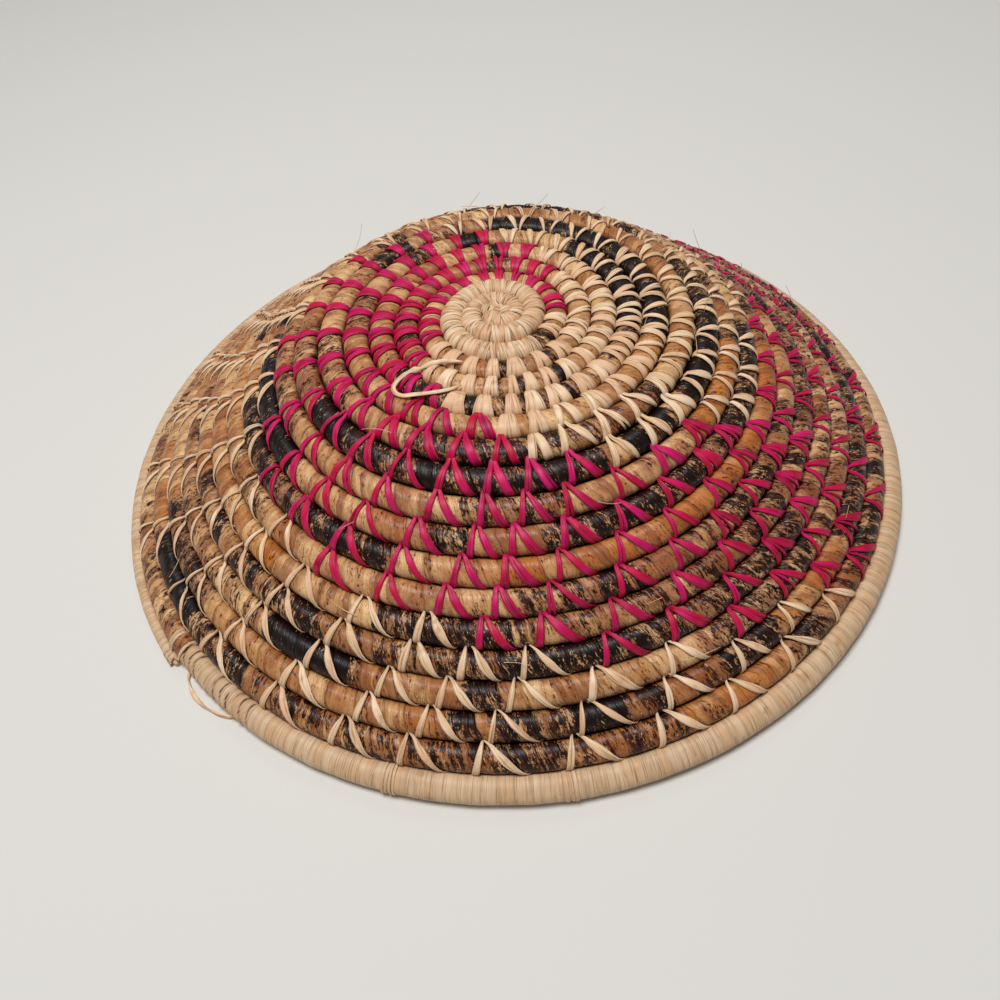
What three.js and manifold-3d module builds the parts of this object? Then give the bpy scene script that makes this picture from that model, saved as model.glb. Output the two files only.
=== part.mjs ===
import * as THREE from 'three';
import Module from 'manifold-3d';
import { mergeVertices } from 'three/addons/utils/BufferGeometryUtils.js';

// A coiled straw basket, standing on its rim with the base up.
// One bundle of straw winds out from the middle of the base, down the wall and round the rim.
// Millimetres, +Z up. The origin is the centre of the rim, on the surface that it stands on.

// Driving dimensions of the coil. Lengths across the rows are measured along the base and wall.
const rimDiameter = 340;
const rowGap = 0.6;
const startPitch = 5.3;
const centreHole = 0.8;
const thickeningTurns = 2.7;
const bundleCount = 15;
const buttGap = 0.3;

// Turns are counted from the seam, where the coil also ends, and less than 0 is nearer the middle.
// The coil starts, its leaf starts, and its last turn, the rim, starts.
const seamAngle = 215;
const coilStartTurn = -3.05;
const leafStartTurn = -0.74;
const rimStartTurn = 15;

// Shape of the bowl: a flat base, a rounded corner and a straight flaring wall
const baseRadius = 56;
const cornerLength = 38.5;
const wallSlope = 38.9;
const buttonRise = 2;
const buttonFadeTurns = 0.6;

// The rim lies level. The rows above it step down beside the end of the coil.
const stepTurns = 0.35;
const tailTurns = 0.3;
const tailDiameter = 3.2;
const restCut = 1.1;

// Loose ends of raffia, as round strands
const strandDiameter = 1.8;
const strandClearance = 0.35;

// Facets
const stationsPerTurn = 24;
const sides = 8;
const profileStep = 0.5;
const gapSamples = 4;
const pitchPasses = 12;

// Colours
const leafRoughness = 0.7;
const raffiaRoughness = 0.75;
const raffiaColour = 0xd9bd94;
const tanLeaf = 0xc2935a;
const paleLeaf = 0xcda66c;
const orangeLeaf = 0xc4853f;
const brownLeaf = 0x8c6039;
const streakedLeaf = 0x5b4030;
const blackLeaf = 0x2f2520;

const wasm = await Module();
wasm.setup();

const rad = THREE.MathUtils.degToRad;

function smooth(value) {
  const u = THREE.MathUtils.clamp(value, 0, 1);
  return u * u * (3 - 2 * u);
}

// Slope of the bowl's wall, and from it the wall's radius and drop below the base
function slopeAt(distance) {
  return rad(wallSlope) * smooth((distance - baseRadius) / cornerLength);
}

const wallPoints = [{ radius: 0, drop: 0 }];
for (let distance = profileStep; distance < rimDiameter; distance += profileStep) {
  const last = wallPoints[wallPoints.length - 1];
  const slope = slopeAt(distance - profileStep / 2);
  wallPoints.push({
    radius: last.radius + profileStep * Math.cos(slope),
    drop: last.drop + profileStep * Math.sin(slope),
  });
}

function wallAt(distance) {
  const index = Math.floor(distance / profileStep);
  const part = distance / profileStep - index;
  const low = wallPoints[index];
  const high = wallPoints[index + 1];
  return {
    radius: THREE.MathUtils.lerp(low.radius, high.radius, part),
    drop: THREE.MathUtils.lerp(low.drop, high.drop, part),
  };
}

function distanceAt(wanted) {
  const index = wallPoints.findIndex(({ radius }) => radius >= wanted);
  const low = wallPoints[index - 1].radius;
  const high = wallPoints[index].radius;
  return profileStep * (index - 1 + (wanted - low) / (high - low));
}

// The row pitch that brings the outside of the last turn to the rim's diameter
function rowPitchFor(diameter) {
  const rows = rimStartTurn + 0.5 - coilStartTurn - thickeningTurns;
  let pitch = startPitch;
  for (let pass = 0; pass < pitchPasses; pass += 1) {
    const middle = distanceAt((diameter - pitch + rowGap) / 2);
    pitch = (middle - centreHole - startPitch * thickeningTurns) / rows;
  }
  return pitch;
}

const rowPitch = rowPitchFor(rimDiameter);
const coilDiameter = rowPitch - rowGap;
const cornerFactor = 1 / Math.cos(Math.PI / sides);
const flatWidth = coilDiameter * Math.tan(Math.PI / sides);

// The coil thickens from startPitch towards rowPitch as it winds
function evenEdge(turn) {
  const wound = turn - coilStartTurn;
  const thinning = (1 - startPitch / rowPitch) * thickeningTurns;
  return centreHole + rowPitch * (wound - thinning * (1 - Math.exp(-wound / thickeningTurns)));
}

// Distance from the centre to the inner edge of the coil at a turn.
// Near the centre it grows evenly. Towards the rim a row runs level and then steps down.
function innerEdge(turn) {
  const row = Math.floor(turn);
  const part = turn - row;
  const level = smooth((turn - 1) / (rimStartTurn - 2));
  const stepped = smooth((part - 1 + stepTurns) / stepTurns);
  return evenEdge(row + THREE.MathUtils.lerp(part, stepped, level));
}

// Middle of the coil at a turn, its thickness, and the lean of the row in the wall.
// Round the corner the coil is pinched a little, so that its flats keep their gap.
// Thinner stretches lie flush with the outside, and the start coil stands a little proud.
function rowMiddle(turn) {
  return (innerEdge(turn) + innerEdge(turn + 1)) / 2;
}

const rimHeight = coilDiameter / 2 - restCut;
const baseHeight = rimHeight + wallAt(rowMiddle(rimStartTurn)).drop;

function wallStation(turn) {
  const distance = rowMiddle(turn);
  const slope = slopeAt(distance);
  const bend = (slopeAt(rowMiddle(turn + 1)) - slopeAt(rowMiddle(turn - 1))) / 2;
  const pinch = bend * flatWidth / 2;
  const diameter = innerEdge(turn + 1) - innerEdge(turn) - rowGap - pinch;
  const place = wallAt(distance);
  const risen = buttonRise * smooth((leafStartTurn - turn) / buttonFadeTurns);
  const proud = (coilDiameter - diameter) / 2 + risen;
  return {
    radius: place.radius + proud * Math.sin(slope),
    height: baseHeight - place.drop + proud * Math.cos(slope),
    lean: -slope,
    diameter,
  };
}

// The rim lies on the floor against the row inside it. Its end thins out beside its own beginning.
function rimStation(turn) {
  const inner = stationAt(turn - 1);
  const part = turn - rimStartTurn;
  const thinning = smooth((part - 1 + tailTurns) / tailTurns);
  const diameter = THREE.MathUtils.lerp(coilDiameter, tailDiameter, thinning);
  const height = rimHeight * diameter / coilDiameter;
  const turned = (cornerFactor - 1) * inner.diameter / 2 * smooth((part - 1 + stepTurns) / stepTurns);
  const apart = (inner.diameter + diameter) / 2 + rowGap + turned;
  const across = Math.sqrt(apart ** 2 - (inner.height - height) ** 2);
  return {
    radius: inner.radius + across,
    height,
    lean: Math.atan2(height - inner.height, across),
    diameter,
  };
}

function stationAt(turn) {
  return turn < rimStartTurn ? wallStation(turn) : rimStation(turn);
}

// Corners of the coil's section in the upright plane through the axis, flat towards both neighbours
function sectionAt(turn) {
  const { radius, height, lean, diameter } = stationAt(turn);
  const azimuth = rad(seamAngle) + turn * 2 * Math.PI;
  const corners = [];
  for (let side = 0; side < sides; side += 1) {
    const angle = lean + (side + 0.5) * 2 * Math.PI / sides;
    const reach = radius + cornerFactor * diameter / 2 * Math.cos(angle);
    const up = height + cornerFactor * diameter / 2 * Math.sin(angle);
    corners.push(new THREE.Vector3(reach * Math.cos(azimuth), reach * Math.sin(azimuth), up));
  }
  return corners;
}

// The coil runs straight from station to station, and the stations of all rows share their azimuths
const seamTurn = seamAngle / 360;

function turnOfStation(index) {
  return index / stationsPerTurn - seamTurn;
}

function chordSection(turn) {
  const index = Math.floor((turn + seamTurn) * stationsPerTurn);
  const part = (turn + seamTurn) * stationsPerTurn - index;
  const low = sectionAt(turnOfStation(index));
  const high = sectionAt(turnOfStation(index + 1));
  return low.map((corner, side) => corner.clone().lerp(high[side], part));
}

function coilSections(from, to) {
  const sections = [chordSection(from)];
  const first = Math.floor((from + seamTurn) * stationsPerTurn) + 1;
  for (let index = first; turnOfStation(index) < to; index += 1) {
    sections.push(sectionAt(turnOfStation(index)));
  }
  sections.push(chordSection(to));
  return sections;
}

// A closed tube through the sections, with a flat face at each end
function tubeGeometry(sections) {
  const positions = sections.flat().flatMap((corner) => corner.toArray());
  const faces = [];
  for (let ring = 0; ring < sections.length - 1; ring += 1) {
    for (let side = 0; side < sides; side += 1) {
      const here = ring * sides + side;
      const beside = ring * sides + (side + 1) % sides;
      faces.push(here, here + sides, beside + sides);
      faces.push(here, beside + sides, beside);
    }
  }
  const last = (sections.length - 1) * sides;
  for (let side = 1; side < sides - 1; side += 1) {
    faces.push(0, side, side + 1);
    faces.push(last, last + side + 1, last + side);
  }
  const geometry = new THREE.BufferGeometry();
  geometry.setAttribute('position', new THREE.Float32BufferAttribute(positions, 3));
  geometry.setIndex(faces);
  geometry.computeVertexNormals();
  return geometry;
}

function toSolid(geometry) {
  const bare = geometry.clone();
  bare.deleteAttribute('normal');
  bare.deleteAttribute('uv');
  const merged = mergeVertices(bare);
  const mesh = new wasm.Mesh({
    numProp: 3,
    vertProperties: new Float32Array(merged.attributes.position.array),
    triVerts: new Uint32Array(merged.index.array),
  });
  return new wasm.Manifold(mesh);
}

function fromSolid(solid) {
  const mesh = solid.getMesh();
  const geometry = new THREE.BufferGeometry();
  geometry.setAttribute('position', new THREE.Float32BufferAttribute(mesh.vertProperties, 3));
  geometry.setIndex([...mesh.triVerts]);
  geometry.computeVertexNormals();
  return geometry;
}

// Everything below the floor is cut away, which leaves the rim a flat face to rest on
function cutLevel(geometry) {
  geometry.computeBoundingBox();
  const size = geometry.boundingBox.getSize(new THREE.Vector3());
  const below = new THREE.BoxGeometry(2 * size.x, 2 * size.y, size.z);
  below.translate(0, 0, -size.z / 2);
  return fromSolid(toSolid(geometry).subtract(toSolid(below)));
}

const basket = new THREE.Group();

function addPiece(name, geometry, color, roughness) {
  const material = new THREE.MeshStandardMaterial({ color, roughness, metalness: 0 });
  const mesh = new THREE.Mesh(geometry, material);
  mesh.name = name;
  basket.add(mesh);
}

// Half of the gap between two butted ends, as a share of a turn
function halfGapAt(turn) {
  return buttGap / 2 / (2 * Math.PI * stationAt(turn).radius);
}

// The turns at which one bundle of the leaf-bound coil ends and the next begins, at equal lengths
function bundleEnds() {
  const lengths = [0];
  const steps = Math.round((rimStartTurn - leafStartTurn) * stationsPerTurn);
  const stepTurn = (rimStartTurn - leafStartTurn) / steps;
  for (let step = 1; step <= steps; step += 1) {
    const middle = leafStartTurn + (step - 0.5) * stepTurn;
    const stretch = 2 * Math.PI * stationAt(middle).radius * stepTurn;
    lengths.push(lengths[step - 1] + stretch);
  }
  const ends = [];
  for (let bundle = 0; bundle <= bundleCount; bundle += 1) {
    const wanted = lengths[steps] * bundle / bundleCount;
    const step = Math.min(lengths.findIndex((length) => length >= wanted), steps);
    const before = Math.max(step - 1, 0);
    const part = step === 0 ? 0 : (wanted - lengths[before]) / (lengths[step] - lengths[before]);
    ends.push(leafStartTurn + (before + part) * stepTurn);
  }
  return { ends, bundleLength: lengths[steps] / bundleCount };
}

// Start coil, bound in natural raffia
addPiece(
  'start_coil',
  tubeGeometry(coilSections(coilStartTurn, leafStartTurn - halfGapAt(leafStartTurn))),
  raffiaColour,
  raffiaRoughness,
);

// Bundles of straw bound in banana leaf, end to end from the base to the rim.
// The last one comes down to the floor where the rim begins.
const leafColours = [
  tanLeaf, paleLeaf, blackLeaf, tanLeaf, brownLeaf, orangeLeaf, paleLeaf, streakedLeaf,
  tanLeaf, streakedLeaf, brownLeaf, tanLeaf, streakedLeaf, tanLeaf, blackLeaf,
];
const { ends, bundleLength } = bundleEnds();
for (let bundle = 0; bundle < bundleCount; bundle += 1) {
  const from = ends[bundle] + halfGapAt(ends[bundle]);
  const to = ends[bundle + 1] - halfGapAt(ends[bundle + 1]);
  const number = String(bundle + 1).padStart(2, '0');
  const colour = leafColours[bundle % leafColours.length];
  const tube = tubeGeometry(coilSections(from, to));
  const geometry = bundle === bundleCount - 1 ? cutLevel(tube) : tube;
  addPiece(`leaf_coil_${number}`, geometry, colour, leafRoughness);
}

// Rim coil, bound in natural raffia, with the thinned end of the coil
const rimSections = coilSections(rimStartTurn + halfGapAt(rimStartTurn), rimStartTurn + 1);
addPiece('rim_coil', cutLevel(tubeGeometry(rimSections)), raffiaColour, raffiaRoughness);

// Loose strands of raffia. Each is a smooth curve through points chosen by eye.
function strandGeometry(points) {
  const curve = new THREE.CatmullRomCurve3(points);
  const section = new THREE.Shape();
  section.absarc(0, 0, strandDiameter / 2, 0, 2 * Math.PI);
  return new THREE.ExtrudeGeometry(section, {
    curveSegments: sides,
    steps: Math.round(curve.getLength() / (2 * strandDiameter)),
    extrudePath: curve,
  });
}

function addStrand(name, points) {
  addPiece(name, strandGeometry(points), raffiaColour, raffiaRoughness);
}

// One lies on the base. Its points are places on the base.
const baseStrand = [
  [-15.2, -27.6], [-18.6, -26.7], [-21.9, -26.1], [-24.9, -26.4], [-27.6, -27.2], [-32.1, -29.3],
  [-35.3, -30.1], [-38.5, -32.6], [-40.8, -35.7], [-41.6, -38.5], [-40.4, -41.4], [-37.8, -42.9],
  [-34.1, -42.8], [-28.5, -42.8], [-23.5, -42.4], [-19.7, -41.6], [-16.3, -40.2],
];
const baseTop = baseHeight + coilDiameter / 2;
const baseStrandHeight = baseTop + strandClearance + strandDiameter / 2;
addStrand('loose_base_strand', baseStrand.map(([x, y]) => new THREE.Vector3(x, y, baseStrandHeight)));

// The other lies on the floor round the end of the coil. Its points are an angle past the seam
// and a distance out from the widest part of the rim. Its ends lie under the rim's round side.
const rimStrand = [
  [1.7, -0.9], [2.6, 1.6], [4.2, 3.7], [6, 4.5], [7.8, 4.3], [9.4, 3.4], [10.9, 1.8],
  [12.4, -0.7],
];
addStrand('loose_rim_strand', rimStrand.map(([degrees, out]) => {
  const { radius, diameter } = stationAt(rimStartTurn + degrees / 360);
  const azimuth = rad(seamAngle + degrees);
  const reach = radius + diameter / 2 + out;
  return new THREE.Vector3(
    reach * Math.cos(azimuth),
    reach * Math.sin(azimuth),
    strandDiameter / 2,
  );
}));

// Least distance between a row and the next, measured on points along their edges
function pointsAlong(low, high) {
  const points = [];
  for (let sample = 0; sample <= gapSamples; sample += 1) {
    low.forEach((corner, side) => points.push(corner.clone().lerp(high[side], sample / gapSamples)));
  }
  return points;
}

function trianglesAlong(low, high) {
  const triangles = [];
  for (let side = 0; side < sides; side += 1) {
    const next = (side + 1) % sides;
    triangles.push(new THREE.Triangle(low[side], high[side], high[next]));
    triangles.push(new THREE.Triangle(low[side], high[next], low[next]));
  }
  return triangles;
}

function leastGap() {
  const first = Math.ceil((seamTurn + coilStartTurn) * stationsPerTurn);
  const last = Math.floor((seamTurn + rimStartTurn + 1) * stationsPerTurn);
  const rings = [];
  for (let index = first; index <= last; index += 1) {
    rings.push(sectionAt(turnOfStation(index)));
  }
  const closest = new THREE.Vector3();
  let least = Infinity;
  const compare = (index, other) => {
    const triangles = trianglesAlong(rings[other], rings[other + 1]);
    for (const point of pointsAlong(rings[index], rings[index + 1])) {
      for (const triangle of triangles) {
        triangle.closestPointToPoint(point, closest);
        least = Math.min(least, closest.distanceTo(point));
      }
    }
  };
  for (let index = 0; index + stationsPerTurn + 2 < rings.length; index += 1) {
    for (const shift of [-1, 0, 1]) {
      const other = index + stationsPerTurn + shift;
      compare(index, other);
      compare(other, index);
    }
  }
  return least;
}

const rim = stationAt(rimStartTurn);
console.log('least gap between neighbouring turns', leastGap().toFixed(2), 'mm');
console.log('length of each leaf-bound bundle', bundleLength.toFixed(0), 'mm');
console.log('rim diameter', (2 * rim.radius + rim.diameter).toFixed(1), 'mm');
console.log('height', (baseTop + buttonRise).toFixed(1), 'mm');

export default basket;
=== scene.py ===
import math
import random
from bisect import bisect_left

import bpy
from mathutils import Matrix, Vector, noise


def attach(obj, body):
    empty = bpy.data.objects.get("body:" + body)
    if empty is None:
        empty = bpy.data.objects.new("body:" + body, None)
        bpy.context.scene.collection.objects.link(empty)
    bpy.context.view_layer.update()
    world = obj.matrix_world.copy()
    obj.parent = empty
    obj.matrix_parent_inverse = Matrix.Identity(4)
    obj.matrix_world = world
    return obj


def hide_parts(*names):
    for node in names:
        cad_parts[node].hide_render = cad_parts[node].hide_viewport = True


# A coiled straw basket, lying on its rim with the base up. Lengths are in metres.

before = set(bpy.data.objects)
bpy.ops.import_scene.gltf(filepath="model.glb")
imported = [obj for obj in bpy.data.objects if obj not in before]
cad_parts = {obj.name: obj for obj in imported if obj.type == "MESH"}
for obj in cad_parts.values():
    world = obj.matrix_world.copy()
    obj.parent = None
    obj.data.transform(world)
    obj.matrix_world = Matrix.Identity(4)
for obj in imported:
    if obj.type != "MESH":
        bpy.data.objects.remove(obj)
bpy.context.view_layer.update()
scene = bpy.context.scene
scene.view_settings.view_transform = "Standard"
print("frame loaded with", len(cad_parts), "CAD pieces")

# Camera, where the photograph was taken from
cameraView = {
    "eye": (0, -0.30247, 0.32801),
    "yaw": -1.512,  # degrees to the right of straight ahead
    "pitch": 50.162,  # degrees down
    "roll": -6.783,
    "lens": 34.56,  # mm
    "sensor": 36,  # mm
}


def addCamera(view):
    yaw, pitch, roll = (math.radians(view[key]) for key in ("yaw", "pitch", "roll"))
    ahead = Vector((math.sin(yaw) * math.cos(pitch), math.cos(yaw) * math.cos(pitch), -math.sin(pitch)))
    level = ahead.cross(Vector((0, 0, 1))).normalized()
    upright = level.cross(ahead)
    right = level * math.cos(roll) + upright * math.sin(roll)
    up = upright * math.cos(roll) - level * math.sin(roll)
    bpy.ops.object.camera_add()
    camera = bpy.context.object
    turned = Matrix((right, up, -ahead)).transposed().to_4x4()
    camera.matrix_world = Matrix.Translation(view["eye"]) @ turned
    camera.data.lens = view["lens"]
    camera.data.sensor_width = view["sensor"]
    camera.data.clip_start = 0.01
    scene.camera = camera


addCamera(cameraView)
print("camera set")

# The coil that the basket is wound from. Turns are counted from the seam, where the coil also ends.
coil = {
    "rimDiameter": 0.340,
    "rowGap": 0.0006,
    "startPitch": 0.0053,
    "centreHole": 0.0008,
    "thickeningTurns": 2.7,
    "seamAngle": 215,  # degrees
    "coilStart": -3.05,
    "leafStart": -0.74,
    "rimStart": 15,
    "bundles": 15,
    "baseRadius": 0.056,
    "cornerLength": 0.0385,
    "wallSlope": 38.9,  # degrees
    "buttonRise": 0.002,
    "buttonFadeTurns": 0.6,
    "stepTurns": 0.35,
    "tailTurns": 0.3,
    "tailDiameter": 0.0032,
    "restCut": 0.0011,
    "squareness": 2.35,  # of the section, where 2 is round
    "jutting": 0.082,  # of its radius, how far the square side of a row juts out under the thin end
    "plumpness": 0.0005,  # of the gap between rows that the leaf fills
}


def smooth(value):
    part = min(max(value, 0.0), 1.0)
    return part * part * (3 - 2 * part)


def mixed(low, high, part):
    return low + (high - low) * part


def bell(away, reach):
    return math.exp(-(away / reach) ** 2)


def ending(part, share):  # 0 until the last share of a turn, and then up to 1
    return smooth((part - 1 + share) / share)


# Profile of the bowl, as radius and drop at even distances from the middle of the base
profileStep = 0.0005
profile = [(0.0, 0.0)]


def slopeAt(distance):
    return math.radians(coil["wallSlope"]) * smooth((distance - coil["baseRadius"]) / coil["cornerLength"])


while len(profile) * profileStep < coil["rimDiameter"]:
    middle = slopeAt((len(profile) - 0.5) * profileStep)
    reached = profile[-1]
    profile.append((reached[0] + profileStep * math.cos(middle), reached[1] + profileStep * math.sin(middle)))


def wallAt(distance):
    index = int(distance / profileStep)
    part = distance / profileStep - index
    low, high = profile[index], profile[index + 1]
    return mixed(low[0], high[0], part), mixed(low[1], high[1], part)


def distanceAt(radius):
    index = next(place for place, point in enumerate(profile) if point[0] >= radius)
    low, high = profile[index - 1][0], profile[index][0]
    return profileStep * (index - 1 + (radius - low) / (high - low))


def findPitch():
    rows = coil["rimStart"] + 0.5 - coil["coilStart"] - coil["thickeningTurns"]
    pitch = coil["startPitch"]
    for tried in range(12):
        outermost = distanceAt((coil["rimDiameter"] - pitch + coil["rowGap"]) / 2)
        pitch = (outermost - coil["centreHole"] - coil["startPitch"] * coil["thickeningTurns"]) / rows
    return pitch


rowPitch = findPitch()
coilDiameter = rowPitch - coil["rowGap"]


def evenEdge(turn):
    wound = turn - coil["coilStart"]
    thickened = 1 - math.exp(-wound / coil["thickeningTurns"])
    saved = (1 - coil["startPitch"] / rowPitch) * coil["thickeningTurns"] * thickened
    return coil["centreHole"] + rowPitch * (wound - saved)


def innerEdge(turn):
    row = math.floor(turn)
    part = turn - row
    level = smooth((turn - 1) / (coil["rimStart"] - 2))
    return evenEdge(row + mixed(part, ending(part, coil["stepTurns"]), level))


def rowMiddle(turn):
    return (innerEdge(turn) + innerEdge(turn + 1)) / 2


rimHeight = coilDiameter / 2 - coil["restCut"]
baseHeight = rimHeight + wallAt(rowMiddle(coil["rimStart"]))[1]
baseTop = baseHeight + coilDiameter / 2


def wallStation(turn):
    distance = rowMiddle(turn)
    slope = slopeAt(distance)
    diameter = innerEdge(turn + 1) - innerEdge(turn) - coil["rowGap"]
    radius, drop = wallAt(distance)
    risen = coil["buttonRise"] * smooth((coil["leafStart"] - turn) / coil["buttonFadeTurns"])
    proud = (coilDiameter - diameter) / 2 + risen
    return radius + proud * math.sin(slope), baseHeight - drop + proud * math.cos(slope), -slope, diameter


def rimStation(turn):
    innerRadius, innerHeight, innerLean, innerDiameter = stationAt(turn - 1)
    part = turn - coil["rimStart"]
    diameter = mixed(coilDiameter, coil["tailDiameter"], ending(part, coil["tailTurns"]))
    height = rimHeight * diameter / coilDiameter
    jutting = coil["jutting"] * innerDiameter / 2 * ending(part, coil["stepTurns"])
    apart = (innerDiameter + diameter) / 2 + coil["rowGap"] + jutting
    across = math.sqrt(apart ** 2 - (innerHeight - height) ** 2)
    return innerRadius + across, height, math.atan2(height - innerHeight, across), diameter


def stationAt(turn):
    return wallStation(turn) if turn < coil["rimStart"] else rimStation(turn)


def circleAt(turn):
    return 2 * math.pi * stationAt(turn)[0]


# A place on the coil: angle 0 faces the next row, 90 degrees the outside and 180 the row before
class Ring:
    def __init__(self, turn):
        self.radius, height, self.lean, self.diameter = stationAt(turn)
        self.circle = 2 * math.pi * self.radius
        azimuth = math.radians(coil["seamAngle"]) + 2 * math.pi * turn
        self.outward = Vector((math.cos(azimuth), math.sin(azimuth), 0))
        self.along = Vector((-self.outward.y, self.outward.x, 0))
        self.centre = self.outward * self.radius + Vector((0, 0, height))

    def spoke(self, angle):
        return self.outward * math.cos(self.lean + angle) + Vector((0, 0, math.sin(self.lean + angle)))

    def point(self, angle, lift=0.0):
        power = coil["squareness"]
        bulge = (abs(math.cos(angle)) ** power + abs(math.sin(angle)) ** power) ** (-1 / power)
        reach = (self.diameter + coil["plumpness"]) / 2 * bulge + lift
        return self.centre + self.spoke(angle) * reach


print("coil laid out, rows", round(rowPitch * 1000, 2), "mm apart")


def selectOnly(*pieces):
    bpy.ops.object.select_all(action="DESELECT")
    for piece in pieces:
        piece.select_set(True)
    bpy.context.view_layer.objects.active = pieces[0]


# A tube or strap starts as a flat grid, whose x runs along the piece and y round it, both from 0 to 1
def startGrid(name, along, around):
    bpy.ops.object.select_all(action="DESELECT")
    bpy.ops.mesh.primitive_grid_add(x_subdivisions=along, y_subdivisions=around, size=1)
    piece = bpy.context.object
    piece.name = name
    piece.data.name = name
    for vertex in piece.data.vertices:
        vertex.co.x += 0.5
        vertex.co.y += 0.5
    return piece


def scaleMap(piece, length, width, start=0.0):
    for corner in piece.data.uv_layers.active.data:
        corner.uv = (start + corner.uv[0] * length, corner.uv[1] * width)


def closeTube(piece):
    selectOnly(piece)
    bpy.ops.object.mode_set(mode="EDIT")
    bpy.ops.mesh.select_all(action="SELECT")
    bpy.ops.mesh.remove_doubles(threshold=0.000001)
    bpy.ops.mesh.fill_holes(sides=0)
    bpy.ops.mesh.normals_make_consistent(inside=False)
    bpy.ops.object.mode_set(mode="OBJECT")
    bpy.ops.object.shade_smooth_by_angle(angle=math.radians(60))


def addAttribute(piece, name, kind, values):
    layer = piece.data.attributes.new(name, kind, "POINT")
    layer.data.foreach_set("value" if kind == "FLOAT" else "vector", values)


def settle(piece, slot, material, *nodes):
    piece.data.materials.clear()
    piece.data.materials.append(material)
    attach(piece, "root")
    if nodes:
        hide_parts(*nodes)


# Loose strands of raffia, flat and a little twisted
looseStrand = {
    "width": 0.0018,
    "thickness": 0.001,
    "clearance": 0.00035,
    "stepLength": 0.0006,
    "around": 10,
    "uneven": 0.12,  # of the width
    "waist": 0.55,  # of the thickness, along the middle
    "endLength": 0.004,
    "endFullness": 0.3,
    "twist": {"loose_base_strand": 0.9, "loose_rim_strand": 1.2},  # radians, to and fro
    "turnLength": {"loose_base_strand": 1.0, "loose_rim_strand": 0.034},  # of the steady twist
    "knot": {"loose_base_strand": 0.31},  # part of the length
    "knotReach": 0.02,  # part of the length
    "knotWidth": 0.6,  # of the strand's width
    "knotThickness": 0.0019,
    "pinch": 0.25,  # of the width, beside the knot
    "pinchAway": 0.045,  # part of the length
    "baseRoute": [
        (-15.2, -27.6), (-18.6, -26.7), (-21.9, -26.1), (-24.9, -26.4), (-27.6, -27.2), (-32.1, -29.3),
        (-35.3, -30.1), (-38.5, -32.6), (-40.8, -35.7), (-41.6, -38.5), (-40.4, -41.4), (-37.8, -42.9),
        (-34.1, -42.8), (-28.5, -42.8), (-23.5, -42.4), (-19.7, -41.6), (-16.3, -40.2),
    ],  # mm on the base
    "rimRoute": [
        (1.7, -0.9), (2.6, 1.6), (4.2, 3.7), (6, 4.5), (7.8, 4.3), (9.4, 3.4), (10.9, 1.8), (12.4, -0.7),
    ],  # degrees past the seam, and mm out from the rim
}


def throughPoints(points, stepLength):
    spline = []
    for index in range(len(points) - 1):
        before = points[max(index - 1, 0)]
        here, there = points[index], points[index + 1]
        after = points[min(index + 2, len(points) - 1)]
        parts = max(int((there - here).length / stepLength), 1)
        for step in range(parts):
            part = step / parts
            spline.append(0.5 * (2 * here + (there - before) * part
                                 + (2 * before - 5 * here + 4 * there - after) * part ** 2
                                 + (3 * here - before - 3 * there + after) * part ** 3))
    spline.append(points[-1].copy())
    return spline


def strandPiece(name, points, seed):
    values = looseStrand
    route = throughPoints(points, values["stepLength"])
    last = len(route) - 1
    piece = startGrid(name + "_raffia", last, values["around"])
    length = sum((there - here).length for here, there in zip(route, route[1:]))
    steady = 2 * math.pi * length / values["turnLength"][name]
    knot = values["knot"].get(name, -1)
    for vertex in piece.data.vertices:
        part, angle = vertex.co.x, 2 * math.pi * vertex.co.y
        place = round(part * last)
        ahead = (route[min(place + 1, last)] - route[max(place - 1, 0)]).normalized()
        side = ahead.cross(Vector((0, 0, 1))).normalized()
        lean = steady * part + values["twist"][name] * noise.noise(Vector((place * 0.02, seed, 0)))
        tilted = side * math.cos(lean) + Vector((0, 0, math.sin(lean)))
        raised = tilted.cross(ahead)
        knotted = bell(part - knot, values["knotReach"])
        fullness = 1 + values["uneven"] * noise.noise(Vector((place * 0.09, seed, 7)))
        toEnd = min(part, 1 - part) * length
        fullness *= mixed(values["endFullness"], 1, smooth(toEnd / values["endLength"]))
        fullness -= values["pinch"] * bell(abs(part - knot) - values["pinchAway"], values["knotReach"])
        wide = values["width"] / 2 * (fullness + values["knotWidth"] * knotted)
        thick = values["thickness"] * mixed(values["waist"], 1, abs(math.cos(angle)))
        thick = (thick + values["knotThickness"] * knotted) / 2
        vertex.co = route[place] + tilted * (wide * math.cos(angle)) + raised * (thick * math.sin(angle))
    scaleMap(piece, length, values["width"] * 2, seed)
    closeTube(piece)
    return piece, route, length


def layStrands():
    height = baseTop + looseStrand["clearance"] + looseStrand["width"] / 2
    onBase = [Vector((x / 1000, y / 1000, height)) for x, y in looseStrand["baseRoute"]]
    onFloor = []
    for degrees, out in looseStrand["rimRoute"]:
        ring = Ring(coil["rimStart"] + degrees / 360)
        reach = ring.radius + ring.diameter / 2 + out / 1000
        azimuth = math.radians(coil["seamAngle"] + degrees)
        onFloor.append(Vector((reach * math.cos(azimuth), reach * math.sin(azimuth), looseStrand["width"] / 2)))
    strands = []
    for name, points, seed in (("loose_base_strand", onBase, 1.3), ("loose_rim_strand", onFloor, 5.1)):
        piece, route, length = strandPiece(name, points, seed)
        strands.append((piece, name))
        print(name, round(length * 1000), "mm long")
    return strands


strands = layStrands()


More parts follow.
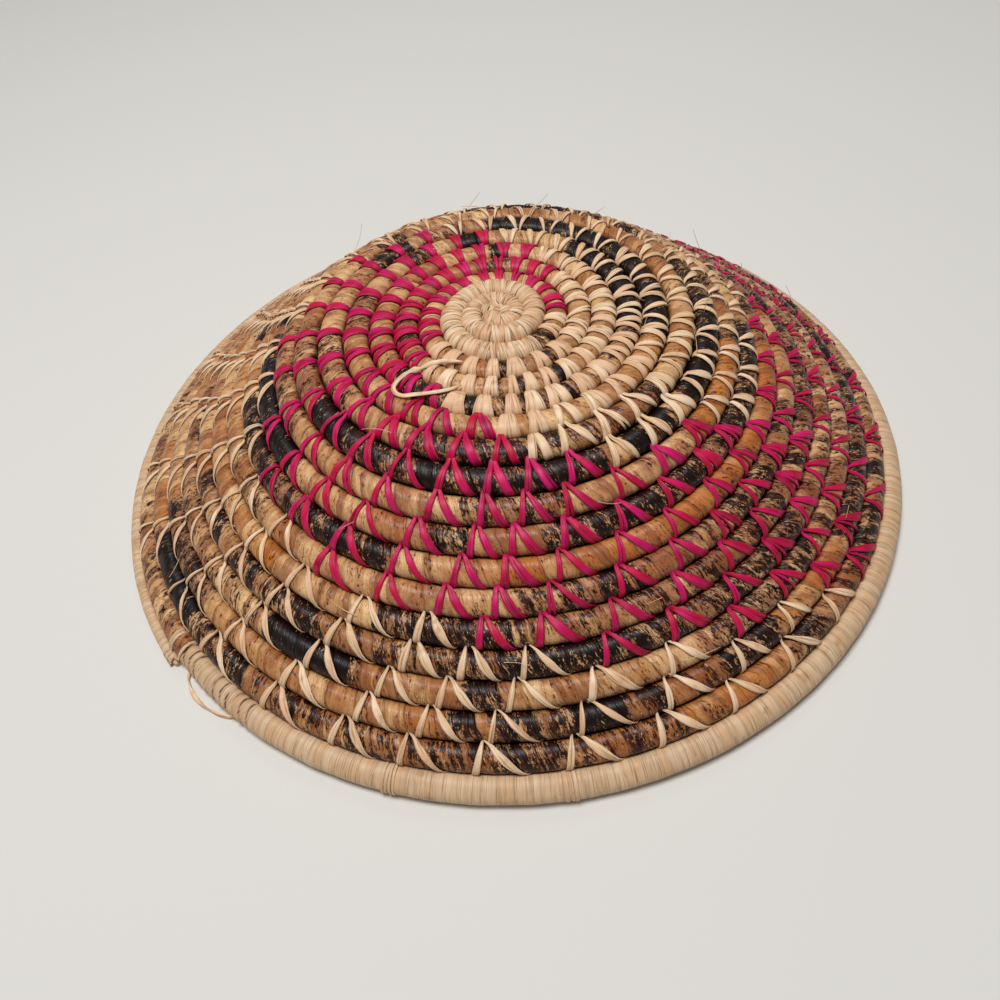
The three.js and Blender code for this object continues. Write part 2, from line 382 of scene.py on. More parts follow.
# Materials. A Level is a number that varies over a surface, and its sums add Math nodes.
class Level:
    def __init__(self, finish, socket):
        self.finish = finish
        self.socket = socket

    def maths(self, operation, *others):
        sockets = {place + 1: other for place, other in enumerate(others)}
        return self.finish.level("ShaderNodeMath", {"operation": operation}, {0: self, **sockets})

    def __add__(self, other):
        return self.maths("ADD", other)

    def __sub__(self, other):
        return self.maths("SUBTRACT", other)

    def __mul__(self, other):
        return self.maths("MULTIPLY", other)

    def __truediv__(self, other):
        return self.maths("DIVIDE", other)

    def __rsub__(self, other):
        return self.finish.level("ShaderNodeMath", {"operation": "SUBTRACT"}, {0: other, 1: self})

    __radd__ = __add__
    __rmul__ = __mul__

    def between(self, low, high):  # 0 below low and 1 above high, with an easy passage
        sockets = {"Value": self, "From Min": low, "From Max": high}
        return self.finish.level("ShaderNodeMapRange", {"interpolation_type": "SMOOTHSTEP"}, sockets)

    def clamped(self):
        return self.finish.level("ShaderNodeClamp", {}, {"Value": self})


def shade(text):
    values = []
    for place in (0, 2, 4):
        value = int(text[place:place + 2], 16) / 255
        values.append(value / 12.92 if value <= 0.04045 else ((value + 0.055) / 1.055) ** 2.4)
    return (*values, 1)


class Finish:
    def __init__(self, name):
        self.material = bpy.data.materials.new(name)
        self.material.use_nodes = True
        self.tree = self.material.node_tree
        self.tree.nodes.clear()
        self.shader = self.node("ShaderNodeBsdfPrincipled")
        output = self.node("ShaderNodeOutputMaterial")
        self.tree.links.new(self.shader.outputs["BSDF"], output.inputs["Surface"])

    def node(self, kind, settings=None, sockets=None):
        made = self.tree.nodes.new(kind)
        for key, value in (settings or {}).items():
            setattr(made, key, value)
        self.plug(made, sockets or {})
        return made

    def plug(self, node, sockets):
        for key, value in sockets.items():
            if isinstance(value, Level):
                value = value.socket
            if isinstance(value, bpy.types.NodeSocket):
                self.tree.links.new(value, node.inputs[key])
            elif value is not None:
                node.inputs[key].default_value = value

    def level(self, kind, settings, sockets, output=0):
        return Level(self, self.node(kind, settings, sockets).outputs[output])

    def tint(self, low, high, part):  # colours, written or linked, go through Mix
        low, high = (shade(colour) if isinstance(colour, str) else colour for colour in (low, high))
        return self.node("ShaderNodeMix", {"data_type": "RGBA"}, {0: part, 6: low, 7: high}).outputs[2]

    def cloud(self, pattern, x, y, moved=0.0):  # a pattern is two scales, detail and roughness
        scaleX, scaleY, detail, roughness = pattern
        place = self.node("ShaderNodeCombineXYZ", {}, {0: x * scaleX, 1: y * scaleY, 2: moved}).outputs[0]
        sockets = {"Vector": place, "Scale": 1.0, "Detail": detail, "Roughness": roughness}
        return self.level("ShaderNodeTexNoise", {"noise_dimensions": "3D"}, sockets)

    def read(self, name):
        return self.level("ShaderNodeAttribute", {"attribute_name": name}, {}, "Fac")

    def readThree(self, name):
        vector = self.node("ShaderNodeAttribute", {"attribute_name": name}).outputs["Vector"]
        parts = self.node("ShaderNodeSeparateXYZ", {}, {0: vector})
        return [Level(self, parts.outputs[place]) for place in range(3)]

    def map(self):
        parts = self.node("ShaderNodeSeparateXYZ", {}, {0: self.node("ShaderNodeUVMap").outputs[0]})
        return Level(self, parts.outputs[0]), Level(self, parts.outputs[1])

    def strips(self, along, width):  # two random numbers for each strip, and how far its edge is
        settings, sockets = {"voronoi_dimensions": "1D"}, {"W": along / width, "Scale": 1.0}
        picked = self.node("ShaderNodeTexVoronoi", settings, sockets).outputs["Color"]
        parts = self.node("ShaderNodeSeparateColor", {}, {0: picked}).outputs
        settings["feature"] = "DISTANCE_TO_EDGE"
        edges = self.level("ShaderNodeTexVoronoi", settings, sockets, "Distance")
        return Level(self, parts[0]), Level(self, parts[1]), edges

    def bump(self, height, depth, before=None):
        sockets = {"Height": height, "Strength": 1.0, "Distance": depth, "Normal": before}
        return self.node("ShaderNodeBump", {}, sockets).outputs[0]

    def wear(self, colour, roughness, shine, normal=None):
        sockets = {"Base Color": colour, "Roughness": roughness, "Normal": normal, "Specular IOR Level": shine}
        self.plug(self.shader, sockets)
        return self.material


# Dry banana leaf, wound round the coil in strips whose fibres run across it
leafFinish = {
    "pale": "eabf88",
    "tan": "a8693a",
    "orange": "c6762a",
    "stain": "8a4c2a",
    "brown": "521d0c",
    "umber": "5c200f",
    "black": "100403",
    "dye": "b04a50",
    "slant": 0.3,
    "wander": 0.004,  # of a strip's edge
    "wideStrip": 0.0115,
    "thinStrip": 0.0032,
    "roughness": 0.34,
    "shine": 0.34,
    "fibreDepth": 0.00016,
    "stripDepth": 0.00035,
    # patterns: scales along and across the coil, detail and roughness
    "bends": (90, 110, 2.0, 0.5),
    "blotches": (260, 105, 4.0, 0.66),
    "streaks": (1250, 75, 2.0, 0.6),
    "specks": (950, 560, 5.0, 0.72),
    "fibres": (3200, 130, 2.0, 0.6),
    "grain": (2200, 1100, 3.0, 0.75),
    "stains": (150, 60, 2.0, 0.5),
    "flakes": (1500, 620, 4.0, 0.75),
}


def makeLeaf():
    values = leafFinish
    finish = Finish("bananaLeaf")
    dark, streaky, warm = finish.readThree("leafLook")
    dyed = finish.read("dyed")
    along, across = finish.map()
    bends = finish.cloud(values["bends"], along, across) - 0.5
    lie = along + across * values["slant"] + bends * values["wander"]
    stripPick, stripTone, stripEdge = finish.strips(lie, values["wideStrip"])
    thinPick, thinTone, thinEdge = finish.strips(lie, values["thinStrip"])
    blotches = finish.cloud(values["blotches"], lie, across, stripPick * 9)
    streaks = finish.cloud(values["streaks"], lie, across, stripTone * 9)
    specks = finish.cloud(values["specks"], lie, across, stripPick * 5)
    fibres = finish.cloud(values["fibres"], lie, across)
    grain = finish.cloud(values["grain"], lie, across, thinPick * 4)
    stains = finish.cloud(values["stains"], lie, across, thinPick * 3)
    flakes = finish.cloud(values["flakes"], lie, across, stripPick * 7)
    patchy, lined, spotted, fibrous = (cloud - 0.5 for cloud in (blotches, streaks, specks, fibres))

    # how far the leaf has turned from tan to brown and black
    stripes = streaky * ((stripPick - 0.5) * 0.9 + (thinPick - 0.5) * 0.6 + lined * 1.7)
    depth = (dark - 0.5) * 1.45 + stripes + patchy * 2.2 + spotted * (2.9 - streaky * 0.7) + lined * 0.6
    browned = depth.between(-0.36, 0.0)
    blackened = depth.between(-0.04, 0.05)
    cracks = (streaks + spotted * 0.5 + (thinTone - 0.5) * 0.15).between(0.69, 0.72)
    tanned = 0.45 + (stripTone - 0.5) * 0.9 + patchy * 1.6 + fibrous * 0.5 + warm * 0.2
    layers = [
        ("tan", tanned.clamped()),
        ("orange", (warm * (0.45 + stripTone * 0.6) + patchy * 0.7 - 0.05).clamped()),
        ("stain", (stains + dark * 0.25).between(0.5, 0.68) * 0.7),
        ("dye", dyed * (thinTone * 0.1 + (blotches - 0.4).between(0.0, 0.4) * 0.2)),
        ("brown", (fibrous * 1.2 + browned * 0.6 + cracks * 0.7).clamped()),
        ("brown", (grain + dark * 0.1).between(0.56, 0.7) * 0.55),
        ("black", (specks + patchy * 0.5 + dark * 0.08).between(0.665, 0.7) * 0.85),
    ]
    light = values["pale"]
    for name, part in layers:
        light = finish.tint(light, values[name], part)

    # the black leaf, with reddish streaks and bare flakes
    deepest = dark.between(0.7, 0.95)
    reddish = (streaks + fibrous * 0.7).between(0.52, 0.7) * (0.75 - deepest * 0.6)
    bare = (flakes + streaks * 0.35 - patchy * 0.9 - deepest * 0.09).between(0.76, 0.8)
    night = finish.tint(values["black"], values["umber"], reddish)
    night = finish.tint(night, finish.tint(values["tan"], values["pale"], streaks), bare * 0.85)
    colour = finish.tint(light, night, blackened)

    # dark seams between the strips, and painted shade in the grooves between the rows
    seam = (1 - stripEdge.between(0.0, 0.025)) * stripTone
    facing = (across * (2 / coilDiameter)).maths("SINE").maths("ABSOLUTE")
    colour = finish.tint(colour, values["black"], seam * 0.8)
    # painted shade: the leaf is tinted towards black as it turns into the grooves between the rows
    colour = finish.tint(colour, values["black"], (0.62 - facing).between(0.0, 0.55) * 0.85)
    edges = stripEdge.between(0.0, 0.06) + thinEdge.between(0.0, 0.1) * 0.35
    relief = finish.bump(fibres + streaks * 0.6, values["fibreDepth"])
    relief = finish.bump(edges, values["stripDepth"], relief)
    roughness = values["roughness"] + spotted * 0.3 + blackened * 0.05
    return finish.wear(colour, roughness, values["shine"], relief)


# Raffia, with fibres along it. Wraps of it on the coil have their fibres across the coil.
raffiaFinish = {
    "natural": {"pale": "fbe2c4", "middle": "e2bc92", "deep": "94683e", "warm": "daa87e"},
    "magenta": {"pale": "de1a78", "middle": "b00a34", "deep": "440210", "warm": "bc0a20"},
    "rim": {"pale": "e4c6a4", "middle": "d2af8a", "deep": "9a754e", "warm": "d4a87e"},
    "centre": {"pale": "fae4c4", "middle": "d2a67c", "deep": "66401f", "warm": "d09a6c"},
    "shadow": "3c2010",
    "roughness": 0.46,
    "shine": 0.28,
    "fibreDepth": 0.00018,
    # patterns: scales across and along the fibres, detail and roughness
    "fibres": (2600, 70, 2.0, 0.65),
    "bands": (800, 40, 1.0, 0.5),
    "blotches": (160, 160, 2.0, 0.5),
    # how much each strip's own tone counts, and how much the bands
    "onCoil": (0.3, 1.4),
    "asStrip": (0.8, 1.9),
}


def makeRaffia(name, kind, acrossCoil):
    values, colours = raffiaFinish, raffiaFinish[kind]
    finish = Finish(name)
    tone, grooveShade, crevice = finish.readThree("raffiaLook")
    along, across = finish.map()
    fibre, length = (along, across) if acrossCoil else (across, along)
    fibres = finish.cloud(values["fibres"], fibre, length, tone * 9)
    bands = finish.cloud(values["bands"], fibre, length, tone * 5)
    blotches = finish.cloud(values["blotches"], fibre, length, tone * 3)
    toneShare, bandShare = values["onCoil" if acrossCoil else "asStrip"]
    own, fibrous = tone - 0.5, fibres - 0.5
    bright = 0.5 + own * toneShare + (bands - 0.5) * bandShare + (blotches - 0.5) * 0.9
    # darker fibre lines and blotches are the raffia's own colour, and the groove value adds painted shade in
    # the grooves between wraps
    wornAndGrooveShade = fibrous.between(0.0, 0.2) * 0.75 + grooveShade * 0.7 + (blotches - 0.62).between(0.0, 0.1) * 0.3
    colour = finish.tint(colours["middle"], colours["pale"], bright.clamped())
    colour = finish.tint(colour, colours["warm"], (blotches + own * 0.7).between(0.45, 0.75) * 0.7)
    colour = finish.tint(colour, colours["deep"], wornAndGrooveShade.clamped())
    # painted shadow in the crevices of the bold wraps
    colour = finish.tint(colour, values["shadow"], (crevice + fibrous * 0.5).between(0.35, 0.85) * 0.85)
    relief = finish.bump(fibres + bands * 0.8, values["fibreDepth"])
    return finish.wear(colour, values["roughness"] + fibrous * 0.3, values["shine"], relief)


leafMaterial = makeLeaf()
naturalRaffia = makeRaffia("naturalRaffia", "natural", False)
magentaRaffia = makeRaffia("magentaRaffia", "magenta", False)
rimRaffia = makeRaffia("rimRaffia", "rim", True)
centreRaffia = makeRaffia("centreRaffia", "centre", True)
wrapRaffia = makeRaffia("centreWrapRaffia", "centre", False)
rimWrapRaffia = makeRaffia("rimWrapRaffia", "rim", False)
print("materials made")


def addLook(piece, tone):
    addAttribute(piece, "raffiaLook", "FLOAT_VECTOR", [tone, 0.0, 0.0] * len(piece.data.vertices))


for piece, node in strands:
    addLook(piece, 0.6)
    settle(piece, "raffia", naturalRaffia, node)

# Stitches. Each is sewn under the row before, and has a short left leg and a longer slanting right leg.
sewing = {
    "columns": [
        6, 18, 31, 43, 52, 62, 74, 85.5, 96.5, 106, 116, 125, 136, 148, 160.6,
        173.2, 185.8, 198.4, 211, 223.6, 236.2, 248.8, 261.4, 274, 286.6, 299.2, 311.8, 324.3, 338.2, 351.1,
    ],  # degrees past the seam, on the middle row
    "middleRow": 8,
    "drift": -2.4,  # degrees from row to row
    "fewer": (0.4, 22),  # stitches in each turn, up to a turn of the coil
    "fewerJitter": 0.13,  # of their spacing
    "jitter": 0.6,  # degrees
    "crowded": (0.0138, 0.0085),  # spacing under which stitches press together, and over how much
    "crowdedFront": 0.0168,  # the same for natural ones in the first part of a turn
    "frontUntil": 0.3,
    "hugUntil": 8,  # turns
    "fanned": (0.26, 0.6),  # part of a turn where a third leg fills a magenta stitch
    "fannedChance": 0.6,
    "fannedShape": (0.0006, 0.0012, 0.0015),
    "upright": (0.6, 0.98),  # part of a turn where both legs of a magenta stitch lie side by side
    "uprightFeet": (-0.0004, 0.0026),
    "twinChance": 0.1,  # of a leg split in two
    "twins": [(-0.0006, -0.0002), (0.0010, 0.0003)],  # how far each moves at its foot and at its top
    # widths of the left and right leg at the top, middle and foot
    "natural": [(0.0009, 0.0024, 0.0025), (0.0009, 0.0031, 0.0036)],
    "magenta": [(0.0014, 0.0024, 0.0031), (0.0014, 0.0031, 0.0036)],
    "pressed": [(0.17, 0.26, 0.33), (0.17, 0.27, 0.34)],  # parts of the spacing, pressed together
    "slender": (0.0030, 0.0011),  # the right leg of a natural stitch that has room, at its middle and foot
    "leftFoot": {"natural": -0.0024, "magenta": -0.0017, "pressed": -0.15},
    "gap": {"natural": 0.0011, "magenta": 0.0004, "pressed": 0.06},  # the most from a leg's top to the middle
    "rightFoot": (0.54, 0.15),  # part of the spacing, with room and pressed together
    # colour, first turn, part of each turn from and to, and how wide the stitches are there
    "thinned": [
        ("natural", 8, 0.5, 1, 0.68), ("natural", 3.3, 0.48, 0.8, 0.68), ("magenta", 9.3, 0.34, 1, 0.8),
    ],
    "angles": (142, 6),  # degrees, of a leg's visible ends on its row
    "lifts": (0.0005, 0.00025, -0.0006),  # off its row where it shows first, further on and at its foot
    # a leg's two hidden points: turns back, angle, lift, and the angle that it faces
    "hugging": [(0, 168, -0.0006, 168), (0, 156, 0.0001, 156)],
    "reaching": [(1, 44, -0.0004, 60), (1, 36, 0.00025, 75)],
    "seed": 11,
    "magentaTurns": [
        (-0.59, -0.03), (0.51, 1.02), (1.59, 2.06), (2.66, 3.13), (3.7, 4.17), (4.77, 5.22), (5.87, 6.29),
        (6.92, 7.32), (7.98, 8.41), (9.04, 9.55), (10.11, 10.57), (11.16, 11.57), (12.21, 12.57),
        (13.28, 13.57), (14.29, 14.57),
    ],
}


class Leg:
    def __init__(self, turn, offset, start, colour, shape, side, tone, hugging):
        self.turn = turn  # of the stitch's top
        self.offset = offset  # along the coil, from top to foot
        self.start = start  # along the coil, at the top
        self.shape = shape  # widths at the top, middle and foot
        self.side = side  # 1 outside the basket, -1 inside
        self.colour, self.tone = colour, tone
        self.hugging = hugging  # comes up out of the groove, and not over the row before

    def shift(self, part):  # along the coil
        return self.start + self.offset * (0.8 * part + 0.2 * part * part)

    def width(self, part):
        top, middle, foot = self.shape
        return mixed(mixed(top, middle, smooth(part / 0.5)), foot, smooth((part - 0.5) / 0.5))


def stitchTops(pick):
    until, fewer = sewing["fewer"]
    uneven = sewing["fewerJitter"]
    tops = [(step + pick.uniform(-uneven, uneven)) / fewer for step in range(-fewer, round(until * fewer))]
    for row in range(coil["rimStart"]):
        for column in sewing["columns"]:
            degrees = row * 360 + column + sewing["drift"] * (row - sewing["middleRow"])
            degrees += pick.uniform(-1, 1) * sewing["jitter"]
            if degrees > until * 360:
                tops.append(degrees / 360)
    return sorted(top for top in tops if coil["leafStart"] + 0.02 < top < coil["rimStart"] - 0.005)


def planStitch(pick, turn, spacing):
    magenta = any(low <= turn <= high for low, high in sewing["magentaTurns"])
    colour = "magenta" if magenta else "natural"
    around = turn % 1
    roomy, passage = sewing["crowded"]
    if not magenta and around < sewing["frontUntil"]:
        roomy = sewing["crowdedFront"]
    crowded = smooth((roomy - spacing) / passage)
    low, high = sewing["upright"]
    uprightFeet = sewing["uprightFeet"]
    upright = smooth((around - low) / 0.08) * smooth((high - around) / 0.06) if magenta else 0
    hugging = crowded > 0.5 or upright > 0.5 or turn < sewing["hugUntil"] and around > sewing["frontUntil"]
    low, high = sewing["fanned"]
    fanned = magenta and crowded < 0.5 and low < around < high
    thinned = min([share for kind, first, low, high, share in sewing["thinned"]
                   if kind == colour and turn > first and low < around < high], default=1)
    leftShape, rightShape = (
        tuple(mixed(width, share * spacing, crowded) for width, share in zip(loose, tight))
        for loose, tight in zip(sewing[colour], sewing["pressed"])
    )
    leftFoot, widestGap = sewing["leftFoot"][colour], sewing["gap"][colour]
    if not magenta and crowded <= 0.45:
        rightShape = (rightShape[0], *sewing["slender"])
    made = []
    for side in (1, -1):
        tone = pick.random()
        left = mixed(leftFoot, sewing["leftFoot"]["pressed"] * spacing, crowded)
        left += pick.uniform(-0.0011, 0.0011) * (1 - 0.7 * crowded)
        right = spacing * mixed(*sewing["rightFoot"], crowded)
        right += pick.uniform(-0.0015, 0.0008) * (1 - 0.6 * crowded)
        left, right = mixed(left, uprightFeet[0], upright), mixed(right, uprightFeet[1], upright)
        gap = mixed(pick.uniform(0.0001, widestGap), sewing["gap"]["pressed"] * spacing, crowded)
        wide = pick.uniform(0.8, 1.2) * (1 if magenta else mixed(1, 1.2, crowded)) * thinned
        twin = pick.random() < sewing["twinChance"] and crowded < 0.5
        strips = [(left, -gap, leftShape), (right, gap, rightShape)]
        if fanned and pick.random() < sewing["fannedChance"]:
            strips.append((mixed(left, right, pick.uniform(0.4, 0.6)), 0.0, sewing["fannedShape"]))
        for offset, start, shape in strips:
            # stitches pressed together near the middle of the base are painted lighter, a painted highlight
            # where the base faces the lamp
            tint = min(max(tone + 0.25 * crowded + pick.uniform(-0.25, 0.25), 0), 1)
            for footMoved, topMoved in sewing["twins"] if twin else [(0, 0)]:
                widths = tuple(width * wide * (0.5 if twin else 1) for width in shape)
                run = (offset + footMoved, start + topMoved)
                made.append(Leg(turn, *run, colour, widths, side, tint, hugging))
                tint = 1 - tint
    return made


def planStitches():
    pick = random.Random(sewing["seed"])
    tops = stitchTops(pick)
    planned = []
    for turn, after in zip(tops, [*tops[1:], tops[-1] + 0.033]):
        planned += planStitch(pick, turn, (after - turn) * circleAt(turn))
    return planned


legs = planStitches()
legTurns = [leg.turn for leg in legs]
legAngles = [math.radians(angle) for angle in sewing["angles"]]

# A strap is one flat strip of raffia, copied for every stitch and wrap
strap = {
    "rings": 10,
    "thickness": 0.00034,
    "floorGap": 0.0003,
    "mapWidth": 0.006,
    "mapStep": 0.037,  # from strap to strap, so that each shows other fibres
    "outline": [(-0.5, 0.0), (-0.34, 1.0), (0.34, 1.0), (0.5, 0.0), (0.0, -0.4)],
}
strapParts = [place / strap["rings"] for place in range(strap["rings"] + 1)]


def strapTemplate():
    rings, outline = strap["rings"], strap["outline"]
    piece = startGrid("strap", rings, len(outline))
    for vertex in piece.data.vertices:
        y, z = outline[round(vertex.co.y * len(outline)) % len(outline)]
        vertex.co.y, vertex.co.z = y, z
    closeTube(piece)
    addLook(piece, 0.5)
    return piece


# Each course is a list of points and normals with the strap's width there, and each strap has a tone
def layStraps(name, courses, material, slot, thickness=strap["thickness"]):
    template = strapTemplate()
    rings = strap["rings"]
    copies = []
    for count, (course, tone) in enumerate(courses):
        points = [point for point, normal, width in course]
        length = sum((there - here).length for here, there in zip(points, points[1:]))
        axes = []
        for place, (point, normal, width) in enumerate(course):
            ahead = (points[min(place + 1, rings)] - points[max(place - 1, 0)]).normalized()
            side = normal.cross(ahead).normalized()
            axes.append((point, side * width, ahead.cross(side) * thickness))
        mesh = template.data.copy()
        for vertex in mesh.vertices:
            point, side, up = axes[round(vertex.co.x * rings)]
            vertex.co = point + side * vertex.co.y + up * vertex.co.z
            vertex.co.z = max(vertex.co.z, 0.0)
        for corner in mesh.uv_layers.active.data:
            corner.uv = (corner.uv[0] * length + count * strap["mapStep"], corner.uv[1] * strap["mapWidth"])
        mesh.attributes["raffiaLook"].data.foreach_set("vector", [tone, 0.0, 0.0] * len(mesh.vertices))
        copy = bpy.data.objects.new(name, mesh)
        scene.collection.objects.link(copy)
        copies.append(copy)
    selectOnly(*copies)
    bpy.ops.object.join()
    piece = bpy.context.object
    piece.name = name
    bpy.data.objects.remove(template)
    settle(piece, slot, material)
    print(name, "laid with", len(courses), "straps")
    return piece


def legCourse(leg):
    circle = circleAt(leg.turn)
    first, further, foot = sewing["lifts"]
    course = []
    for place, part in enumerate(strapParts):
        turn = leg.turn + leg.shift(part) / circle
        if place < 2:
            back, degrees, lift, facing = sewing["hugging" if leg.hugging else "reaching"][place]
            ring = Ring(turn - back)
            angle = leg.side * math.radians(degrees)
            normal = ring.spoke(leg.side * math.radians(facing))
        else:
            ring = Ring(turn)
            angle = leg.side * mixed(*legAngles, (place - 2) / (strap["rings"] - 2))
            lift = (first if place == 2 else further) + 0.00008 * math.sin(leg.turn * 999)
            normal = ring.spoke(angle)
        if part == 1:
            lift = foot
        uneven = 1 + 0.1 * noise.noise(Vector((part * 4, leg.turn * 300, leg.tone)))
        width = leg.width(part) * (0.5 if place == 0 else uneven)
        course.append((ring.point(angle, lift), normal, width))
    return course


threads = [("natural", naturalRaffia, "raffia"), ("magenta", magentaRaffia, "magenta_raffia")]
for colour, material, slot in threads:
    for side, place in ((1, "outside"), (-1, "inside")):
        courses = [(legCourse(leg), leg.tone) for leg in legs if leg.colour == colour and leg.side == side]
        layStraps(f"{colour}_stitches_{place}", courses, material, slot)

# Bundles of straw bound in leaf
leafCoil = {
    "stepLength": 0.0015,
    "around": 28,
    "lumps": 0.00022,
    "pressed": 0.00045,  # depth under a stitch
    "pressedWidth": 0.0024,
    "pressedReach": 0.022,
    "blend": 0.008,  # turns, from one kind of leaf to the next
    "rubbed": 0.004,  # turns, past the magenta stitches
    "buttGap": 0.0001,
    "slots": [
        "tan", "pale", "black", "tan", "brown", "orange", "pale", "streaked",
        "tan", "streaked", "brown", "tan", "streaked", "tan", "black",
    ],
    # how dark, how streaked and how warm each kind of leaf is
    "kinds": {
        "plain": (0.14, 0.15, 0.2),
        "pale": (0.1, 0.15, 0.0),
        "speckled": (0.33, 0.2, 0.1),
        "yellow": (0.14, 0.12, 0.3),
        "orange": (0.16, 0.2, 0.9),
        "brown": (0.42, 0.45, 0.3),
        "flecked": (0.59, 0.25, 0.2),
        "mixed": (0.47, 0.9, 0.25),
        "streaked": (0.57, 1.15, 0.25),
        "banded": (0.55, 0.8, 0.6),
        "dusky": (0.72, 0.3, 0.0),
        "dark": (0.76, 0.6, 0.2),
        "black": (0.98, 0.3, 0.1),
    },
    # the leaf's kind from each turn on
    "zones": [
        (-0.74, "streaked"), (-0.66, "pale"), (0.0, "yellow"), (0.12, "flecked"), (0.2, "brown"),
        (0.27, "pale"), (0.62, "flecked"), (0.67, "yellow"), (0.88, "brown"), (0.95, "yellow"),
        (1.09, "black"), (1.11, "plain"), (1.13, "black"), (1.15, "plain"), (1.165, "dark"),
        (1.19, "plain"), (1.235, "black"), (1.25, "pale"), (1.64, "black"), (1.66, "yellow"),
        (1.94, "brown"), (2.0, "flecked"), (2.1, "black"), (2.125, "flecked"), (2.25, "brown"),
        (2.36, "black"), (2.55, "pale"), (2.67, "black"), (2.7, "pale"), (2.73, "flecked"), (2.77, "pale"),
        (2.84, "brown"), (2.9, "yellow"), (3.3, "orange"), (3.35, "black"), (3.66, "speckled"),
        (3.75, "dark"), (3.8, "yellow"), (3.9, "speckled"), (4.0, "pale"), (4.07, "flecked"),
        (4.13, "dark"), (4.2, "brown"), (4.3, "plain"), (4.74, "mixed"), (4.8, "yellow"),
        (4.88, "speckled"), (4.98, "black"), (5.02, "dusky"), (5.09, "black"), (5.105, "dusky"),
        (5.16, "dark"), (5.22, "yellow"), (5.24, "black"), (5.258, "brown"), (5.268, "black"),
        (5.283, "yellow"), (5.303, "black"), (5.4, "dusky"), (5.47, "mixed"), (5.56, "dark"),
        (5.68, "plain"), (5.85, "speckled"), (5.99, "plain"), (6.12, "brown"), (6.19, "yellow"),
        (6.29, "orange"), (6.38, "mixed"), (6.46, "plain"), (6.6, "brown"), (6.68, "plain"),
        (6.85, "mixed"), (6.9, "black"), (7.0, "yellow"), (7.105, "flecked"), (7.13, "yellow"),
        (7.17, "dusky"), (7.36, "dark"), (7.41, "plain"), (7.6, "speckled"), (7.8, "plain"), (7.92, "dark"),
        (8.0, "flecked"), (8.045, "black"), (8.06, "flecked"), (8.085, "yellow"), (8.12, "orange"),
        (8.4, "brown"), (8.6, "plain"), (8.84, "dark"), (8.86, "orange"), (8.95, "speckled"),
        (9.0, "yellow"), (9.15, "brown"), (9.175, "streaked"), (9.21, "mixed"), (9.3, "streaked"),
        (9.36, "yellow"), (9.45, "brown"), (9.7, "yellow"), (10.0, "orange"), (10.03, "yellow"),
        (10.085, "dark"), (10.12, "mixed"), (10.2, "streaked"), (10.24, "mixed"), (10.36, "flecked"),
        (10.48, "mixed"), (10.58, "plain"), (10.7, "yellow"), (10.94, "streaked"), (11.0, "dark"),
        (11.018, "streaked"), (11.06, "brown"), (11.1, "streaked"), (11.15, "dark"), (11.2, "streaked"),
        (11.23, "flecked"), (11.3, "speckled"), (11.56, "plain"), (11.7, "yellow"), (11.85, "speckled"),
        (12.035, "black"), (12.082, "yellow"), (12.13, "mixed"), (12.142, "plain"), (12.23, "flecked"),
        (12.3, "speckled"), (12.56, "plain"), (12.7, "yellow"), (12.94, "dark"), (13.0, "yellow"),
        (13.12, "streaked"), (13.17, "black"), (13.19, "streaked"), (13.23, "dark"), (13.26, "orange"),
        (13.31, "flecked"), (13.36, "dusky"), (13.44, "flecked"), (13.54, "plain"), (13.7, "yellow"),
        (13.95, "black"), (14.0, "flecked"), (14.025, "streaked"), (14.05, "banded"), (14.21, "orange"),
        (14.26, "banded"), (14.34, "streaked"), (14.5, "mixed"), (14.7, "yellow"), (14.85, "speckled"),
    ],
}


def bundleEnds():
    steps = 2000
    share = (coil["rimStart"] - coil["leafStart"]) / steps
    lengths = [0.0]
    for step in range(steps):
        middle = coil["leafStart"] + (step + 0.5) * share
        lengths.append(lengths[-1] + circleAt(middle) * share)
    ends = []
    for bundle in range(coil["bundles"] + 1):
        wanted = lengths[-1] * bundle / coil["bundles"]
        step = min(max(bisect_left(lengths, wanted), 1), steps)
        part = (wanted - lengths[step - 1]) / (lengths[step] - lengths[step - 1])
        ends.append(coil["leafStart"] + (step - 1 + part) * share)
    return ends, lengths[-1] / coil["bundles"]


zoneTurns = [turn for turn, kind in leafCoil["zones"]]


def lookAt(turn):
    zones, kinds = leafCoil["zones"], leafCoil["kinds"]
    after = bisect_left(zoneTurns, turn)
    here = kinds[zones[max(after - 1, 0)][1]]
    if after == len(zones):
        return here
    part = smooth((turn - zoneTurns[after]) / leafCoil["blend"] + 1)
    return tuple(mixed(low, high, part) for low, high in zip(here, kinds[zones[after][1]]))


def dyeAt(turn):
    rubbed = leafCoil["rubbed"]
    return max(smooth((turn - low) / rubbed + 1) * smooth((high - turn) / rubbed + 1)
               for low, high in sewing["magentaTurns"])


def pressAt(angle, near):
    side = 1 if angle < math.pi else -1
    folded = angle if side == 1 else 2 * math.pi - angle
    part = (legAngles[0] - folded) / (legAngles[0] - legAngles[1])
    part = mixed(0.2, 1, min(max(part, 0.0), 1.0))
    width = leafCoil["pressedWidth"]
    depths = [bell(apart - leg.shift(part), width) for leg, apart in near if leg.side == side]
    return max(depths, default=0.0) * leafCoil["pressed"] * math.sin(folded) ** 0.5


